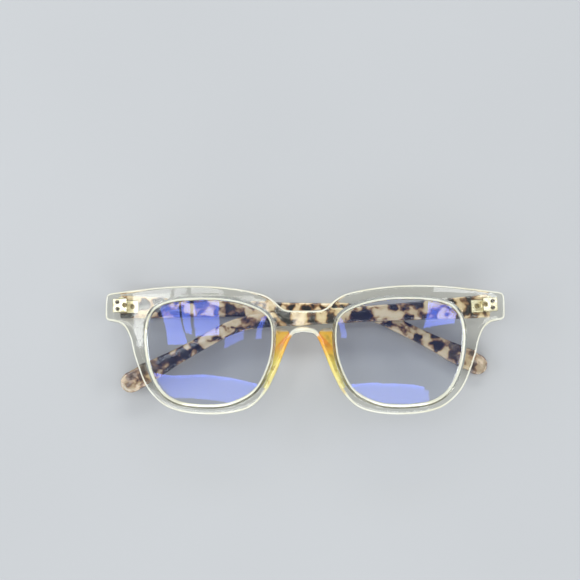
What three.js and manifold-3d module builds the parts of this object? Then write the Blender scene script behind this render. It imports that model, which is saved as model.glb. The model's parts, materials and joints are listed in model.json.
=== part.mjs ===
// Blue light glasses, folded and lying face up.
// Millimetres. +X is the viewer's right, +Y points to the brow, +Z out of the lens fronts.
// The left temple is the outer one: its flat outer face lies on the ground. The right temple is
// folded first and lies between the left temple and the front.
import * as THREE from 'three';
import { mergeVertices } from 'three/addons/utils/BufferGeometryUtils.js';
import Module from 'manifold-3d';

const wasm = await Module();
wasm.setup();

// Driving sizes
const LENS_WIDTH = 48; // from bevel tip to bevel tip
const BRIDGE_WIDTH = 21; // between the two lenses
const TEMPLE_LENGTH = 142; // along the temple, from the hinge axis to the tip
const FRONT_HALF_WIDTH = 73.3;
const FRONT_THICKNESS = 4.6;
const BOW_RADIUS = 420; // the front is bowed about an upright axis behind it
const EDGE_ROUND = 0.8;
const GAP = 0.3; // between pieces that touch

// Lenses and their groove
const LENS_CENTRE_X = (LENS_WIDTH + BRIDGE_WIDTH) / 2;
const LENS_PLANE_Z = -2.1;
const LENS_HALF_THICKNESS = 1.0;
const LENS_INSET = 0.35; // how far the lens faces stop short of the opening
const LENS_RIM_HALF_THICKNESS = 0.5; // where the lens steps out into its bevel
const LENS_DOME = 1.0;
const BEVEL_OUT = 1.15; // bevel tip past the edge of the opening
const GROOVE_DEPTH = 1.65;
const GROOVE_HALF_WIDTH = 1.1;
const GROOVE_START = -0.3; // the groove's cutter begins this far inside the opening

// Hinges, seen from the hinge axis
const HINGE_X = 68;
const HINGE_Y = 18;
const HINGE_CANT = THREE.MathUtils.degToRad(1.5); // both hinges sit slightly off square
const FRONT_TO_AXIS = 1.7; // back of the end piece to the axis
const KNUCKLE_RADIUS = 1.3;
const BORE_RADIUS = 0.85;
const SHANK_RADIUS = 0.55;
const LEAF_HALF_HEIGHT = 2.5;
const LEAF_THICKNESS = 1.0;
const MIDDLE_HALF_HEIGHT = 0.7; // half the height of the middle knuckle
const FRONT_LEAF_INNER = -3.1;
const FRONT_LEAF_OUTER = 2.4;
const PIN_OFFSET = 0.6; // the two pins, outward from the axis
const PIN_HEIGHT = 1.3; // and above and below its middle
const STUD_OFFSET = -2.2;
const STUD_RADIUS = 0.7;
// How far the studs and pins reach from the axis into the plastic
const STUD_REACH = 4.0;
const PIN_REACH = 4.2;
const RIVET_REACH = 4.0;
const OVERLAP = 0.2; // how far joined pieces of one part run into each other
const THROUGH = 1.5; // how far the cutter of a hole runs past the piece
const PIN_HOLE_START = 1; // the pins' holes in the leaf, from the axis
const PIN_HOLE_END = 3.5;
const WEB_HALF_WIDTH = 0.9; // the webs that join the knuckles to the front leaf
const SCREW_HEAD_RADIUS = 1.05;
const SCREW_HEAD_HEIGHT = 0.6;
const SCREW_HEAD_ROUND = 0.2;
const SCREW_TOP_RADIUS = 0.75;
const TEMPLE_LEAF_START = 1.6;
const TEMPLE_LEAF_END = 6.0;
const TEMPLE_LEAF_HALF_HEIGHT = 2.35;
const ARM_UNDERSIDE = 0.3; // the arm joins the middle knuckle to the temple leaf
const ARM_LAP = 0.6; // how far it runs onto the leaf
const ARM_SLOT_START = -4; // its slot is open at the end of the temple
const ARM_SLOT_LAP = 1;
const RIVET_AT = 3.9;
const RIVET_HEAD_RADIUS = 0.95;
const RIVET_HEAD_HEIGHT = 0.4;

// Temples
const BUTT_GAP = 0.35; // between the front and the end of an open temple
const TEMPLE_OUTER = 5.2; // axis to the outer face, flush with the end piece when open
const TEMPLE_THICKNESS = 3.4; // at the hinge
const TEMPLE_THIN = 3.1; // from THIN_AT on
const THIN_AT = 25;
const TEMPLE_ROUND = 0.7;
const MITRE_LENGTH = 8; // over which the end of the temple slants to meet the front
const TEMPLE_SLOPE = THREE.MathUtils.degToRad(2.1);
const BEND_START = 83;
const BEND_RADIUS = 40;
const BEND_ANGLE = THREE.MathUtils.degToRad(25.5);
const TIP_ROUND = 4.2;
const SPLAY = THREE.MathUtils.degToRad(3); // open temples stand this far past square
const FOLD_RIGHT = THREE.MathUtils.degToRad(1.2); // folded, the right tip is nearer the front
const FOLD_LEFT = THREE.MathUtils.degToRad(1.95); // and the left tip is further from it

// Fineness of the round shapes
const BAR_SIDES = 20;
const LENS_LOOP_POINTS = 48;
const LENS_RINGS = [0.3, 0.6, 0.85, 1]; // shares of the way from the middle to the edge
const TEMPLE_STEP = 4;
const TIP_STEPS = 6;

// Half of the front's outline, on the right of the bridge, from the top middle to the arch
const BRIDGE_TOP = 14.9;
const BROW_LINE = [[4, BRIDGE_TOP], [7.1, 15.3], [9.3, 17.1], [11.2, 18.8], [14.4, 20.7],
  [19.8, 22.2], [27, 23.4], [34.4, 24.15], [41.8, 24.4], [49.1, 24.3], [56.6, 23.8],
  [64.2, 23.1], [71.5, 22.4]];
const END_TOP_PULL = 22.2; // height the corner of the end piece is drawn towards
const END_TOP = 20.4; // where its outer edge begins
const END_FOOT = 13.6; // and ends
const END_FOOT_PULL = 12.2;
const END_UNDERSIDE = [71.6, 12];
const RIM_LINE = [[68.5, 11.5], [66.2, 10.1], [64.7, 8], [63.3, 4.6], [62.3, 0.4], [61.2, -2.9],
  [59.9, -6.4], [58.4, -10], [56.3, -13.5], [52.9, -17.1], [48.8, -19.8], [43.5, -21.4],
  [38, -22.1], [33, -22.25], [28, -22], [23.8, -21.3], [19.6, -19.9], [16.1, -17.2],
  [13.1, -13.5], [11.3, -10], [9.6, -6.4], [8.2, -2.8], [6.8, 0.8], [6, 2.7], [5.1, 4.6]];
const ARCH_PULLS = [[4.4, 6.3], [2.6, 7.4]];
const ARCH_TOP = 7.4;
// The lens opening, about the middle of the lens, from the nose side over the top
const OPENING_LINE = [[-22.85, 4.2], [-22.8, 8.2], [-22.2, 11.2], [-20.6, 13.5], [-17.2, 15.6],
  [-11, 17.75], [-3.8, 18.95], [3.8, 19.2], [10.9, 18.9], [16.2, 17.9], [19.6, 16.2],
  [21.6, 13.6], [22.6, 10], [22.85, 5.5], [22.4, 0.9], [21.5, -3.6], [20, -8], [17.7, -12.2],
  [14.6, -15.3], [11, -17.2], [6.8, -18.15], [0, -18.6], [-7.2, -18.05], [-13.8, -15.4],
  [-17.8, -11.9], [-20.6, -6.5], [-22.2, -1.3]];
// Half height of the temple at distances along it
const TEMPLE_HALF_HEIGHTS = [[0, 4.2], [8, 4.1], [25, 3.4], [50, 2.9], [80, 2.7], [105, 2.55],
  [118, 2.8], [130, 3.75], [137, 3.9], [142, 3.9]];

const vector2 = ([x, y]) => new THREE.Vector2(x, y);
const bow = (x) => -(x * x) / (2 * BOW_RADIUS);
const bowSlope = Math.atan(HINGE_X / BOW_RADIUS);

// ---- solids ----

// A closed solid from a mesh, its corners shared between faces.
function toSolid(geometry) {
  const bare = geometry.clone();
  bare.deleteAttribute('normal');
  bare.deleteAttribute('uv');
  const merged = mergeVertices(bare, 1e-5);
  return new wasm.Manifold(new wasm.Mesh({
    numProp: 3,
    vertProperties: merged.attributes.position.array,
    triVerts: new Uint32Array(merged.index.array),
  }));
}

function toGeometry(solid) {
  const mesh = solid.getMesh();
  const geometry = new THREE.BufferGeometry();
  geometry.setAttribute('position', new THREE.BufferAttribute(mesh.vertProperties, 3));
  geometry.setIndex(new THREE.BufferAttribute(mesh.triVerts, 1));
  return geometry;
}

function cut(geometry, cutters) {
  let solid = toSolid(geometry);
  for (const cutter of cutters) {
    solid = solid.subtract(toSolid(cutter));
  }
  return toGeometry(solid);
}

function join(geometries) {
  let solid = toSolid(geometries[0]);
  for (const other of geometries.slice(1)) {
    solid = solid.add(toSolid(other));
  }
  return toGeometry(solid);
}

// A box between two corners.
function block([x0, y0, z0], [x1, y1, z1]) {
  const box = new THREE.BoxGeometry(x1 - x0, y1 - y0, z1 - z0);
  return box.translate((x0 + x1) / 2, (y0 + y1) / 2, (z0 + z1) / 2);
}

// A round bar along Y, from y0 to y1.
function barY(radius, y0, y1, x = 0, z = 0) {
  const bar = new THREE.CylinderGeometry(radius, radius, y1 - y0, BAR_SIDES);
  return bar.translate(x, (y0 + y1) / 2, z);
}

// A round bar along Z, from z0 to z1.
function barZ(radius, z0, z1, x, y) {
  const bar = new THREE.CylinderGeometry(radius, radius, z1 - z0, BAR_SIDES);
  return bar.rotateX(Math.PI / 2).translate(x, y, (z0 + z1) / 2);
}

// The same piece for the other side: x or z is turned round and the faces are turned back out.
function mirrored(geometry, axis) {
  const copy = geometry.clone();
  copy.scale(axis === 'x' ? -1 : 1, 1, axis === 'z' ? -1 : 1);
  if (copy.index === null) {
    copy.setIndex([...Array(copy.attributes.position.count).keys()]);
  }
  const index = copy.index.array;
  for (let i = 0; i < index.length; i += 3) {
    [index[i], index[i + 1]] = [index[i + 1], index[i]];
  }
  return copy;
}

// A solid through closed rings with the same number of points. Each end is a fan of triangles.
function ringSolid(rings) {
  const count = rings[0].length;
  const positions = rings.flat().flatMap((p) => [p.x, p.y, p.z]);
  const index = [];
  for (let r = 0; r < rings.length - 1; r += 1) {
    for (let i = 0; i < count; i += 1) {
      const a = r * count + i;
      const b = r * count + ((i + 1) % count);
      index.push(a, b, b + count, a, b + count, a + count);
    }
  }
  const last = (rings.length - 1) * count;
  for (let i = 1; i < count - 1; i += 1) {
    index.push(0, i + 1, i);
    index.push(last, last + i, last + i + 1);
  }
  const geometry = new THREE.BufferGeometry();
  geometry.setAttribute('position', new THREE.Float32BufferAttribute(positions, 3));
  geometry.setIndex(index);
  return geometry;
}

// Moves every corner of a mesh with a function of its place.
function warp(geometry, move) {
  const place = geometry.attributes.position;
  const point = new THREE.Vector3();
  for (let i = 0; i < place.count; i += 1) {
    point.fromBufferAttribute(place, i);
    move(point);
    place.setXYZ(i, point.x, point.y, point.z);
  }
  return geometry;
}

// ---- lens outline ----

// The opening as a closed loop, anticlockwise, moved outward by `out` and drawn about x = 0.
function lensLoop(out) {
  const smooth = new THREE.CatmullRomCurve3(
    OPENING_LINE.map(([x, y]) => new THREE.Vector3(x, y, 0)), true, 'centripetal');
  const loop = smooth.getSpacedPoints(LENS_LOOP_POINTS).slice(0, -1).reverse();
  const count = loop.length;
  return loop.map((point, i) => {
    const along = loop[(i + 1) % count].clone().sub(loop[(i + count - 1) % count]).normalize();
    return new THREE.Vector2(point.x + along.y * out, point.y - along.x * out);
  });
}

function lensRing(out, scale, z) {
  return lensLoop(out).map((p) => new THREE.Vector3(p.x * scale, p.y * scale, z));
}

// ---- front frame ----

function frontOutline() {
  const half = new THREE.Path();
  half.moveTo(0, BRIDGE_TOP);
  half.splineThru(BROW_LINE.map(vector2));
  half.quadraticCurveTo(FRONT_HALF_WIDTH, END_TOP_PULL, FRONT_HALF_WIDTH, END_TOP);
  half.lineTo(FRONT_HALF_WIDTH, END_FOOT);
  half.quadraticCurveTo(FRONT_HALF_WIDTH, END_FOOT_PULL, ...END_UNDERSIDE);
  half.splineThru(RIM_LINE.map(vector2));
  half.bezierCurveTo(...ARCH_PULLS.flat(), 0, ARCH_TOP);
  const right = half.getPoints(2);
  const left = right.slice(1, -1).reverse().map((p) => new THREE.Vector2(-p.x, p.y));
  return new THREE.Shape([...right, ...left].reverse());
}

function frontBlank() {
  const shape = frontOutline();
  for (const side of [1, -1]) {
    const hole = lensLoop(0).map((p) => new THREE.Vector2(side * (p.x + LENS_CENTRE_X), p.y));
    shape.holes.push(new THREE.Path(hole));
  }
  const blank = new THREE.ExtrudeGeometry(shape, {
    depth: FRONT_THICKNESS - 2 * EDGE_ROUND,
    bevelThickness: EDGE_ROUND,
    bevelSize: EDGE_ROUND,
    bevelOffset: -EDGE_ROUND,
    bevelSegments: 2,
    curveSegments: 3,
  });
  return blank.translate(0, 0, EDGE_ROUND - FRONT_THICKNESS);
}

function grooveCutter() {
  const rings = [
    lensRing(GROOVE_START, 1, LENS_PLANE_Z - GROOVE_HALF_WIDTH),
    lensRing(GROOVE_DEPTH, 1, LENS_PLANE_Z),
    lensRing(GROOVE_START, 1, LENS_PLANE_Z + GROOVE_HALF_WIDTH),
  ];
  return ringSolid(rings).translate(LENS_CENTRE_X, 0, 0);
}

// What is cut out of the end piece for the front leaf, about the hinge axis. X is outward along
// the back of the end piece and Z points into it.
function frontLeafPocket() {
  const floor = FRONT_TO_AXIS + LEAF_THICKNESS + GAP;
  const side = LEAF_HALF_HEIGHT + GAP;
  return [
    block([FRONT_LEAF_INNER - GAP, -side, 0], [FRONT_LEAF_OUTER + GAP, side, floor]),
    barZ(STUD_RADIUS + GAP, floor - OVERLAP, STUD_REACH + GAP, STUD_OFFSET, 0),
    barZ(SHANK_RADIUS + GAP, floor - OVERLAP, PIN_REACH + GAP, PIN_OFFSET, PIN_HEIGHT),
    barZ(SHANK_RADIUS + GAP, floor - OVERLAP, PIN_REACH + GAP, PIN_OFFSET, -PIN_HEIGHT),
  ];
}

// Where the hinge axis is, on the right (side 1) or the left (side -1).
function axisPoint(side) {
  const backX = HINGE_X + FRONT_TO_AXIS * Math.sin(bowSlope);
  const backZ = bow(backX) - FRONT_THICKNESS;
  return new THREE.Vector3(side * HINGE_X, HINGE_Y, backZ - FRONT_TO_AXIS * Math.cos(bowSlope));
}

// Takes a piece from the axes of the front leaf to its place on the front.
function frontHingePlace(side) {
  const turn = new THREE.Euler(0, side * bowSlope, HINGE_CANT, 'ZYX');
  const place = new THREE.Matrix4().makeRotationFromEuler(turn);
  return place.setPosition(axisPoint(side));
}

function forSide(geometry, side) {
  return side === 1 ? geometry.clone() : mirrored(geometry, 'x');
}

function frontFrame() {
  const groove = grooveCutter();
  const grooved = cut(frontBlank(), [groove, mirrored(groove, 'x')]);
  warp(grooved, (p) => { p.z += bow(p.x); });
  const pockets = [1, -1].flatMap((side) => frontLeafPocket().map(
    (cutter) => forSide(cutter, side).applyMatrix4(frontHingePlace(side))));
  return cut(grooved, pockets);
}

// ---- lens ----

function lens() {
  const face = (scale) => LENS_DOME * (1 - scale * scale);
  const rings = [];
  for (const scale of LENS_RINGS) {
    rings.push(lensRing(-LENS_INSET, scale, LENS_PLANE_Z - LENS_HALF_THICKNESS + face(scale)));
  }
  rings.push(lensRing(-LENS_INSET, 1, LENS_PLANE_Z - LENS_RIM_HALF_THICKNESS));
  rings.push(lensRing(BEVEL_OUT, 1, LENS_PLANE_Z));
  rings.push(lensRing(-LENS_INSET, 1, LENS_PLANE_Z + LENS_RIM_HALF_THICKNESS));
  for (const scale of [...LENS_RINGS].reverse()) {
    rings.push(lensRing(-LENS_INSET, scale, LENS_PLANE_Z + LENS_HALF_THICKNESS + face(scale)));
  }
  const blank = ringSolid(rings).translate(LENS_CENTRE_X, 0, 0);
  return warp(blank, (p) => { p.z += bow(p.x); });
}

// ---- nose pad ----

// Stations down the nasal rim: height, nose side and lens side of the pad on the rim, how far
// it stands back from the rim, how far its rear edge leans away from the nose and how far that
// edge is lifted towards the brow.
const PAD_STATIONS = [
  { y: 7.4, nose: 5.4, lens: 10.6, depth: 4.6, lean: 1.6, lift: 1.9 },
  { y: 4.4, nose: 5.6, lens: 10.4, depth: 4.6, lean: 2.0, lift: 0.9 },
  { y: 0.4, nose: 7.2, lens: 10.4, depth: 4.2, lean: 1.8, lift: 0 },
  { y: -4, nose: 8.9, lens: 11.3, depth: 3.4, lean: 1.3, lift: 0 },
  { y: -8.4, nose: 10.8, lens: 12.9, depth: 2.5, lean: 0.9, lift: 0 },
  { y: -12.6, nose: 12.9, lens: 14.7, depth: 1.6, lean: 0.5, lift: 0 },
];
// The rear edge is a narrow flat between two slanted sides. Each side's corner takes a share of
// the lean, the lift and the depth.
const PAD_REAR_LEAN = 0.6;
const PAD_REAR_HALF_WIDTH = 0.7;
const PAD_REAR_SLANT = 0.2;
const PAD_NOSE_SHARES = { lean: 0.45, lift: 0.6, depth: 0.42 };
const PAD_LENS_SHARES = { lean: 0.5, lift: 0.7, depth: 0.3 };

function nosePad() {
  const rearCorner = (x, station, rear, shares) => new THREE.Vector3(
    x + station.lean * shares.lean, station.y + station.lift * shares.lift,
    rear + station.depth * shares.depth);
  const rings = PAD_STATIONS.map((station) => {
    const { y, nose, lens: lensSide, lift } = station;
    const back = (x) => bow(x) - FRONT_THICKNESS - GAP;
    const rear = back(lensSide) - station.depth;
    const rearMiddle = (nose + lensSide) / 2 + station.lean * PAD_REAR_LEAN;
    return [
      rearCorner(nose, station, rear, PAD_NOSE_SHARES),
      new THREE.Vector3(rearMiddle - PAD_REAR_HALF_WIDTH, y + lift, rear + PAD_REAR_SLANT),
      new THREE.Vector3(rearMiddle + PAD_REAR_HALF_WIDTH, y + lift, rear),
      rearCorner(lensSide, station, rear, PAD_LENS_SHARES),
      new THREE.Vector3(lensSide, y, back(lensSide)),
      new THREE.Vector3(nose, y, back(nose)),
    ];
  });
  return ringSolid(rings);
}

// ---- hinge pieces ----

// The two bands of the front leaf's knuckles along the axis.
const KNUCKLE_BANDS = [
  [MIDDLE_HALF_HEIGHT + GAP, LEAF_HALF_HEIGHT],
  [-LEAF_HALF_HEIGHT, -MIDDLE_HALF_HEIGHT - GAP],
];

function frontLeaf() {
  const faceZ = FRONT_TO_AXIS + LEAF_THICKNESS;
  const plate = block([FRONT_LEAF_INNER, -LEAF_HALF_HEIGHT, FRONT_TO_AXIS],
    [FRONT_LEAF_OUTER, LEAF_HALF_HEIGHT, faceZ]);
  const pieces = [plate, barZ(STUD_RADIUS, faceZ - OVERLAP, STUD_REACH, STUD_OFFSET, 0)];
  for (const [low, high] of KNUCKLE_BANDS) {
    pieces.push(barY(KNUCKLE_RADIUS, low, high));
    const webTop = FRONT_TO_AXIS + OVERLAP;
    pieces.push(block([-WEB_HALF_WIDTH, low, 0], [WEB_HALF_WIDTH, high, webTop]));
  }
  return cut(join(pieces), [
    barY(BORE_RADIUS, -LEAF_HALF_HEIGHT - THROUGH, LEAF_HALF_HEIGHT + THROUGH),
    barZ(SHANK_RADIUS + GAP, PIN_HOLE_START, PIN_HOLE_END, PIN_OFFSET, PIN_HEIGHT),
    barZ(SHANK_RADIUS + GAP, PIN_HOLE_START, PIN_HOLE_END, PIN_OFFSET, -PIN_HEIGHT),
  ]);
}

// One of the two pins that hold the front leaf in the end piece.
function leafPin(height) {
  return barZ(SHANK_RADIUS, FRONT_TO_AXIS, PIN_REACH, PIN_OFFSET, height);
}

function hingeScrew() {
  const neck = LEAF_HALF_HEIGHT + GAP;
  const top = neck + SCREW_HEAD_HEIGHT;
  const profile = [[0, -LEAF_HALF_HEIGHT], [SHANK_RADIUS, -LEAF_HALF_HEIGHT], [SHANK_RADIUS, neck],
    [SCREW_HEAD_RADIUS, neck], [SCREW_HEAD_RADIUS, top - SCREW_HEAD_ROUND],
    [SCREW_TOP_RADIUS, top], [0, top]];
  return new THREE.LatheGeometry(profile.map(vector2), BAR_SIDES);
}

// The leaf on the temple. X runs along the temple, Y to its top, Z to its outer face.
function templeLeaf() {
  const inner = TEMPLE_OUTER - TEMPLE_THICKNESS;
  const plate = block([TEMPLE_LEAF_START, -TEMPLE_LEAF_HALF_HEIGHT, inner],
    [TEMPLE_LEAF_END, TEMPLE_LEAF_HALF_HEIGHT, inner + LEAF_THICKNESS]);
  const arm = block([0, -MIDDLE_HALF_HEIGHT, ARM_UNDERSIDE],
    [TEMPLE_LEAF_START + ARM_LAP, MIDDLE_HALF_HEIGHT, inner + LEAF_THICKNESS]);
  const knuckle = barY(KNUCKLE_RADIUS, -MIDDLE_HALF_HEIGHT, MIDDLE_HALF_HEIGHT);
  return cut(join([plate, arm, knuckle]), [
    barY(BORE_RADIUS, -MIDDLE_HALF_HEIGHT - THROUGH, MIDDLE_HALF_HEIGHT + THROUGH),
    barZ(SHANK_RADIUS + GAP, inner - THROUGH, inner + LEAF_THICKNESS + THROUGH, RIVET_AT, 0),
  ]);
}

function templeRivet() {
  const under = TEMPLE_OUTER - TEMPLE_THICKNESS - GAP;
  return join([
    barZ(RIVET_HEAD_RADIUS, under - RIVET_HEAD_HEIGHT, under, RIVET_AT, 0),
    barZ(SHANK_RADIUS, under - OVERLAP, RIVET_REACH, RIVET_AT, 0),
  ]);
}

// ---- temple ----

// The middle line of the temple at a distance along it, and its direction.
function templeLine(distance) {
  const bent = THREE.MathUtils.clamp(distance - BEND_START, 0, BEND_RADIUS * BEND_ANGLE);
  const angle = TEMPLE_SLOPE + bent / BEND_RADIUS;
  const straight = Math.min(distance, BEND_START);
  const tail = Math.max(distance - BEND_START - bent, 0);
  const arcX = BEND_RADIUS * (Math.sin(angle) - Math.sin(TEMPLE_SLOPE));
  const arcY = BEND_RADIUS * (Math.cos(angle) - Math.cos(TEMPLE_SLOPE));
  const x = straight * Math.cos(TEMPLE_SLOPE) + arcX + tail * Math.cos(angle);
  const y = -straight * Math.sin(TEMPLE_SLOPE) + arcY - tail * Math.sin(angle);
  return { x, y, angle };
}

const heightCurve = new THREE.SplineCurve(TEMPLE_HALF_HEIGHTS.map(vector2));

function templeHalfHeight(distance) {
  const table = TEMPLE_HALF_HEIGHTS;
  const next = Math.max(1, table.findIndex(([at]) => at >= distance));
  const [d0, h0] = table[next - 1];
  const [d1, h1] = table[next];
  const part = (distance - d0) / (d1 - d0);
  const height = heightCurve.getPoint((next - 1 + part) / (table.length - 1)).y;
  const past = Math.max(0, distance - (TEMPLE_LENGTH - TIP_ROUND)) / TIP_ROUND;
  return height * Math.sqrt(Math.max(0, 1 - past * past));
}

function templeShape() {
  const distances = [];
  for (let d = 0; d < TEMPLE_LENGTH - TIP_ROUND; d += TEMPLE_STEP) {
    distances.push(d);
  }
  for (let i = 0; i < TIP_STEPS; i += 1) {
    const turned = (i * Math.PI) / (2 * TIP_STEPS);
    distances.push(TEMPLE_LENGTH - TIP_ROUND * (1 - Math.sin(turned)));
  }
  const edge = (side) => distances.map((d) => {
    const { x, y, angle } = templeLine(d);
    const height = side * templeHalfHeight(d);
    return new THREE.Vector2(x + height * Math.sin(angle), y + height * Math.cos(angle));
  });
  const end = templeLine(TEMPLE_LENGTH);
  const buttX = -FRONT_TO_AXIS + BUTT_GAP;
  const half = TEMPLE_HALF_HEIGHTS[0][1];
  return new THREE.Shape([
    new THREE.Vector2(buttX, -half),
    ...edge(-1).slice(1),
    new THREE.Vector2(end.x, end.y),
    ...edge(1).slice(1).reverse(),
    new THREE.Vector2(buttX, half),
  ]);
}

function temple() {
  const blank = new THREE.ExtrudeGeometry(templeShape(), {
    depth: TEMPLE_THICKNESS - 2 * TEMPLE_ROUND,
    bevelThickness: TEMPLE_ROUND,
    bevelSize: TEMPLE_ROUND,
    bevelOffset: -TEMPLE_ROUND,
    bevelSegments: 2,
  });
  blank.translate(0, 0, TEMPLE_OUTER - TEMPLE_THICKNESS + TEMPLE_ROUND);
  const mitre = Math.tan(bowSlope + SPLAY);
  warp(blank, (p) => {
    const thin = THREE.MathUtils.lerp(1, TEMPLE_THIN / TEMPLE_THICKNESS,
      THREE.MathUtils.clamp(p.x / THIN_AT, 0, 1));
    p.z = TEMPLE_OUTER - (TEMPLE_OUTER - p.z) * thin;
    p.x += p.z * mitre * THREE.MathUtils.clamp(1 - p.x / MITRE_LENGTH, 0, 1);
  });
  const inner = TEMPLE_OUTER - TEMPLE_THICKNESS;
  const floor = inner + LEAF_THICKNESS + GAP;
  const side = TEMPLE_LEAF_HALF_HEIGHT + GAP;
  const armSide = MIDDLE_HALF_HEIGHT + GAP;
  return cut(blank, [
    block([TEMPLE_LEAF_START - GAP, -side, 0], [TEMPLE_LEAF_END + GAP, side, floor]),
    block([ARM_SLOT_START, -armSide, 0], [TEMPLE_LEAF_START + ARM_SLOT_LAP, armSide, floor]),
    barZ(SHANK_RADIUS + GAP, floor - OVERLAP, RIVET_REACH + GAP, RIVET_AT, 0),
  ]);
}

// Takes a piece from the temple's own axes to the folded pose. On the right the piece is turned
// half round; on the left it is the mirror image, with its outer face down as well.
function templePlace(side) {
  const angle = side === 1 ? Math.PI + FOLD_RIGHT : FOLD_LEFT;
  const turn = new THREE.Euler(0, angle, HINGE_CANT, 'ZYX');
  const place = new THREE.Matrix4().makeRotationFromEuler(turn);
  return place.setPosition(axisPoint(side));
}

// ---- materials ----

const paint = (color, roughness, metalness, extra = {}) => new THREE.MeshStandardMaterial({
  color, roughness, metalness, ...extra,
});
const crystal = () => paint(0xd9d6b8, 0.1, 0, { transparent: true, opacity: 0.5 });
const lensCoat = () => paint(0x6f7fd0, 0.05, 0, { transparent: true, opacity: 0.35 });
const amber = () => paint(0xe9a32a, 0.25, 0);
const tortoise = () => paint(0x7a5230, 0.2, 0);
const paleGold = () => paint(0xe0dcbb, 0.3, 1);
const steel = () => paint(0x8d8a80, 0.35, 1);

// ---- assembly ----

function add(parent, name, geometry, material) {
  const mesh = new THREE.Mesh(geometry, material);
  mesh.name = name;
  parent.add(mesh);
}

const glasses = new THREE.Group();
add(glasses, 'front_frame', frontFrame(), crystal());

for (const [side, word] of [[1, 'right'], [-1, 'left']]) {
  add(glasses, `lens_${word}`, forSide(lens(), side), lensCoat());
  add(glasses, `nose_pad_${word}`, forSide(nosePad(), side), amber());

  const hinge = new THREE.Group();
  hinge.applyMatrix4(frontHingePlace(side));
  add(hinge, `front_hinge_leaf_${word}`, forSide(frontLeaf(), side), paleGold());
  add(hinge, `leaf_pin_upper_${word}`, forSide(leafPin(PIN_HEIGHT), side), steel());
  add(hinge, `leaf_pin_lower_${word}`, forSide(leafPin(-PIN_HEIGHT), side), steel());
  add(hinge, `hinge_screw_${word}`, forSide(hingeScrew(), side), paleGold());
  glasses.add(hinge);

  const arm = new THREE.Group();
  arm.applyMatrix4(templePlace(side));
  const handed = (geometry) => (side === 1 ? geometry : mirrored(geometry, 'z'));
  add(arm, `temple_${word}`, handed(temple()), tortoise());
  add(arm, `temple_hinge_leaf_${word}`, handed(templeLeaf()), paleGold());
  add(arm, `temple_rivet_${word}`, handed(templeRivet()), paleGold());
  glasses.add(arm);
}

// The glasses are turned until the left temple's outer face is level, and stand on z = 0 with
// the middle of their outline over the origin.
glasses.rotation.y = -FOLD_LEFT;
glasses.updateMatrixWorld(true);
const bounds = new THREE.Box3().setFromObject(glasses, true);
const middle = bounds.getCenter(new THREE.Vector3());
glasses.position.set(-middle.x, -middle.y, -bounds.min.z);

export default glasses;
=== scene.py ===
import json
import math

import bmesh
import bpy
import numpy as np
from mathutils import Matrix, Vector, geometry


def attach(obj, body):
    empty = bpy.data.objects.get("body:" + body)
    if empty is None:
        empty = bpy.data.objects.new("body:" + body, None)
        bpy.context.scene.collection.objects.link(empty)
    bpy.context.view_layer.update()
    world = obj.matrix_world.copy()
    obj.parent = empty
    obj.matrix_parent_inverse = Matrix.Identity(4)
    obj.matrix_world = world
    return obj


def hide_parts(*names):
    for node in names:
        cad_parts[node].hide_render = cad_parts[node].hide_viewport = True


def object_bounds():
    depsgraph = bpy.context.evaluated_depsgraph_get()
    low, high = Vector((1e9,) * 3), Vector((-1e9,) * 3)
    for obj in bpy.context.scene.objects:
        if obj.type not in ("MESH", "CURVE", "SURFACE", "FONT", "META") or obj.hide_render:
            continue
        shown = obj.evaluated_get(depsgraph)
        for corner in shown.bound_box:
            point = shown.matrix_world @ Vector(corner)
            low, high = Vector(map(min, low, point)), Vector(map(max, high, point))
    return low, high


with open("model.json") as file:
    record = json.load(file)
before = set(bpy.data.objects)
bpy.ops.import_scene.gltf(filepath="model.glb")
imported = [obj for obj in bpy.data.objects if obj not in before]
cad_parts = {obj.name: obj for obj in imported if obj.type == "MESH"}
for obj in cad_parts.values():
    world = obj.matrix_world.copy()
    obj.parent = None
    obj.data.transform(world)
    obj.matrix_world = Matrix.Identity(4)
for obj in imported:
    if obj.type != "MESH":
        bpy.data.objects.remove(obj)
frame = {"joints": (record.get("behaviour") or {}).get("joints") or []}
cad_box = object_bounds()

# Lengths are in millimetres in each piece's own axes and go to metres when the piece is placed.
MM = 0.001
FRONT_THICKNESS = 4.6
BOW_RADIUS = 420.0
LENS_CENTRE_X = 34.5
LENS_PLANE_Z = -2.1
LENS_HALF_THICKNESS = 1.0
LENS_DOME = 1.0
HINGE_X = 68.0
HINGE_Y = 18.0
HINGE_CANT = math.radians(1.5)
FRONT_TO_AXIS = 1.7
KNUCKLE_RADIUS = 1.3
BORE_RADIUS = 0.85
SHANK_RADIUS = 0.55
LEAF_HALF_HEIGHT = 2.5
LEAF_THICKNESS = 1.0
MIDDLE_HALF_HEIGHT = 0.7
KNUCKLE_GAP = 0.3
FRONT_LEAF_X = (-3.1, 2.4)
PIN_OFFSET = 0.6
PIN_HEIGHT = 1.3
STUD_OFFSET = -2.2
STUD_RADIUS = 0.7
TEMPLE_LEAF_X = (1.6, 6.0)
TEMPLE_LEAF_HALF_HEIGHT = 2.35
RIVET_AT = 3.9
RIVET_HEAD_RADIUS = 0.95
TEMPLE_LENGTH = 142.0
TEMPLE_OUTER = 5.2
TEMPLE_THICKNESS = 3.4
TEMPLE_THIN = 3.1
THIN_AT = 25.0
MITRE_LENGTH = 8.0  # over which the end of the temple slants to meet the front
BUTT_GAP = 0.35  # between the front and the end of an open temple
TEMPLE_SLOPE = math.radians(2.1)
BEND_START = 83.0
BEND_RADIUS = 40.0
BEND_ANGLE = math.radians(25.5)
TIP_ROUND = 4.2
SPLAY = math.radians(3)
FOLD_RIGHT = math.radians(1.2)
FOLD_LEFT = math.radians(1.95)

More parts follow.
